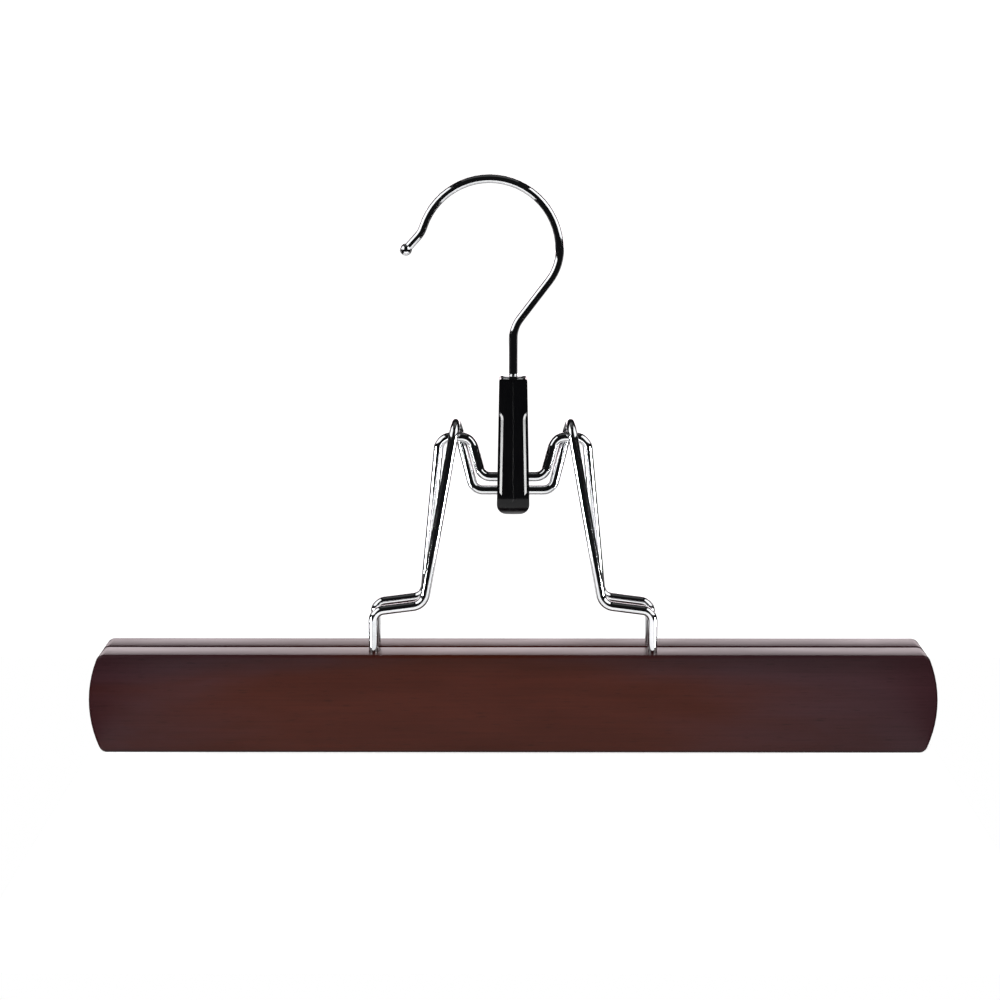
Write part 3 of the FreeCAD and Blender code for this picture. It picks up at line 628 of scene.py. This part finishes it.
def camera():
    """The photograph's view: a little above the hanger, looking down at it from the front."""
    photo_camera = bpy.data.cameras.new("photo_camera")
    photo_camera.sensor_width = 36
    focal_share = 2.254
    photo_camera.lens = photo_camera.sensor_width * focal_share
    viewer = bpy.data.objects.new("photo_camera", photo_camera)
    bpy.context.scene.collection.objects.link(viewer)
    left_of_middle = 2.3 * MM
    distance = 780.5 * MM
    above_bars = 203.6 * MM
    viewer.location = Vector((bar_middle.x - left_of_middle, -distance, bar_top + above_bars))
    pitch = math.radians(10.9)
    turn = math.radians(0.17)
    viewer.rotation_euler = (math.pi / 2 - pitch, 0, turn)
    bpy.context.scene.camera = viewer


def soft_box(name, place, aim, width, height, power, tint="#ffffff", in_reflections=True, only_on=None):
    """A soft studio lamp that the camera doesn't see, on everything or on some pieces only."""
    light = bpy.data.lights.new(name, "AREA")
    light.shape = "RECTANGLE"
    light.size = width
    light.size_y = height
    light.energy = power
    light.color = linear(tint)[:3]
    lamp = bpy.data.objects.new(name, light)
    bpy.context.scene.collection.objects.link(lamp)
    lamp.location = place
    lamp.rotation_euler = (aim - place).to_track_quat("-Z", "Y").to_euler()
    lamp.visible_camera = False
    lamp.visible_glossy = in_reflections
    lamp.light_linking.receiver_collection = only_on


def stage_sheet(name, place, turn, width, length, material):
    """A flat sheet of the stage: the floor or the backdrop."""
    bpy.ops.object.select_all(action="DESELECT")
    bpy.ops.mesh.primitive_plane_add(size=1, location=place, rotation=(turn, 0, 0))
    sheet = bpy.context.object
    sheet.name = name
    sheet.scale = (width, length, 1)
    bpy.ops.object.transform_apply(location=True, rotation=True, scale=True)
    sheet.data.materials.append(material)


def white_paper(name, colour, glow, mirrored_glow):
    """Matt white studio paper, lifted to white where the camera or a shiny surface sees it.

    The lift for the camera grows with the distance from the hanger, so that its shadow stays."""
    shadow_reach = 0.05
    white_reach = 0.12
    material, tree, place = new_material(name)
    # The floor that keeps the shadow is an oval, twice as long as it is deep
    across = add(tree, "ShaderNodeMapping", {"Vector": place, "Scale": (0.5, 1, 0)})
    away = add(tree, "ShaderNodeVectorMath", {0: across.outputs["Vector"]}, operation="LENGTH")
    lift = add(tree, "ShaderNodeMapRange", {
        "Value": away.outputs["Value"], "From Min": shadow_reach, "From Max": white_reach,
        "To Min": glow, "To Max": 1.0})
    path = add(tree, "ShaderNodeLightPath", {})
    seen = add(tree, "ShaderNodeMath", {
        0: path.outputs["Is Camera Ray"], 1: lift.outputs["Result"]}, operation="MULTIPLY")
    mirror = add(tree, "ShaderNodeMath", {
        0: path.outputs["Is Glossy Ray"], 1: path.outputs["Is Transmission Ray"]}, operation="MAXIMUM")
    strength = add(tree, "ShaderNodeMath", {
        0: mirror.outputs[0], 1: mirrored_glow, 2: seen.outputs[0]}, operation="MULTIPLY_ADD")
    paper = add(tree, "ShaderNodeBsdfDiffuse", {"Color": linear(colour)})
    light = add(tree, "ShaderNodeEmission", {"Color": linear("#ffffff"), "Strength": strength.outputs[0]})
    show(tree, add(tree, "ShaderNodeAddShader", {0: paper.outputs[0], 1: light.outputs[0]}))
    return material


def studio(low_lit):
    """A white table and backdrop in a dark room, with soft boxes all round.

    The low strips light only the pieces that are in low_lit."""
    middle = Vector((bar_middle.x, 0, cad_box[0].z))
    table_front = -0.21
    table_back = 0.12
    wall_depth = 1.3
    wall_height = 1.2
    table = white_paper("table_paper", "#f2f2f2", glow=0.45, mirrored_glow=0.5)
    far_paper = white_paper("far_paper", "#8c8c8c", glow=1.0, mirrored_glow=0.0)
    stage_sheet("table", middle + Vector((0, (table_front + table_back) / 2, 0)), turn=0,
                width=0.3, length=table_back - table_front, material=table)
    stage_sheet("far_floor", middle + Vector((0, (table_back + wall_depth) / 2, 0)), turn=0,
                width=3.0, length=wall_depth - table_back, material=far_paper)
    stage_sheet("backdrop", middle + Vector((0, wall_depth, wall_height / 2)), turn=math.radians(90),
                width=3.0, length=wall_height, material=far_paper)
    # Lamps stand in metres from the floor under the middle of the bars
    for name, side in (("left", -1), ("right", 1)):
        place = middle + Vector((side * 0.7, -0.415, 0.69))
        soft_box(f"{name}_box", place, Vector((middle.x, place.y, place.z)),
                 width=1.07, height=0.93, power=4.7)
        # Upright strips for the sides of the lever's recesses and of the wires, flagged off the hook
        place = middle + Vector((side * 0.42, -0.155, -0.08))
        soft_box(f"{name}_strip", place, Vector((middle.x, 0, place.z)),
                 width=0.12, height=0.28, power=4.6, only_on=low_lit)
    place = middle + Vector((0, 0, 1.5))
    soft_box("overhead", place, middle, width=1.2, height=1.2, power=0.3)
    place = middle + Vector((0, wall_depth - 0.1, 0.29))
    soft_box("back_box", place, Vector((middle.x, 0, place.z)),
             width=1.8, height=0.42, power=6.6, tint="#fff0f4")
    place = middle + Vector((-0.35, -1.3, 0.9))
    soft_box("front_fill", place, middle, width=1.2, height=1.2, power=17, in_reflections=False)

    world = bpy.data.worlds.new("studio")
    bpy.context.scene.world = world
    world.use_nodes = True
    tree = world.node_tree
    tree.nodes.clear()
    path = add(tree, "ShaderNodeLightPath", {})
    room = add(tree, "ShaderNodeBackground", {"Color": linear("#141415"), "Strength": 1.0})
    white = add(tree, "ShaderNodeBackground", {"Color": linear("#ffffff"), "Strength": 1.0})
    mix = add(tree, "ShaderNodeMixShader", {0: path.outputs["Is Camera Ray"]})
    tree.links.new(room.outputs[0], mix.inputs[1])
    tree.links.new(white.outputs[0], mix.inputs[2])
    add(tree, "ShaderNodeOutputWorld", {"Surface": mix.outputs[0]})


camera()
low_lit = bpy.data.collections.new("low_lit")
studio(low_lit)

frame_chrome = chrome_plate("chrome_plated_frame_wire", "#e9eaec", "#d2d4d6")
hook_chrome = chrome_plate("chrome_plated_hook_wire", "#ecedef", "#d8dadc")
bush_chrome = chrome_plate("chrome_plated_bush", "#e6e7e9", "#cfd1d3")
lever_plastic = glossy_black_abs("glossy_black_abs")
bar_wood = stained_lacquered_wood("stained_lacquered_wood")
jaw_felt = pressed_wool_felt("pressed_wool_felt")

for place, wire in (("front", front_wire_frame()), ("rear", rear_wire_frame())):
    low_lit.objects.link(wire)
    dress(wire, f"{place}_jaw", "frame_wire", frame_chrome, f"{place}_wire_frame")
dress(hook(), "hook", "hook_wire", hook_chrome, "hook")
for side in ("left", "right"):
    node = f"lever_{side}_half"
    half = lever_half(f"moulded_{node}", node)
    low_lit.objects.link(half)
    dress(half, "lever", "lever_plastic", lever_plastic, node)
for place in ("front", "rear"):
    felt = felt_sheet(f"{place}_felt_strip", f"{place}_felt")
    dress(felt, f"{place}_jaw", "jaw_felt", jaw_felt, f"{place}_felt")
    paint_node(f"{place}_bar", bar_wood)
paint_node("swivel_bush", bush_chrome)
paint_node("hook_washer", zinc_plated_steel("zinc_plated_steel"))

bpy.context.scene.view_settings.view_transform = "Standard"
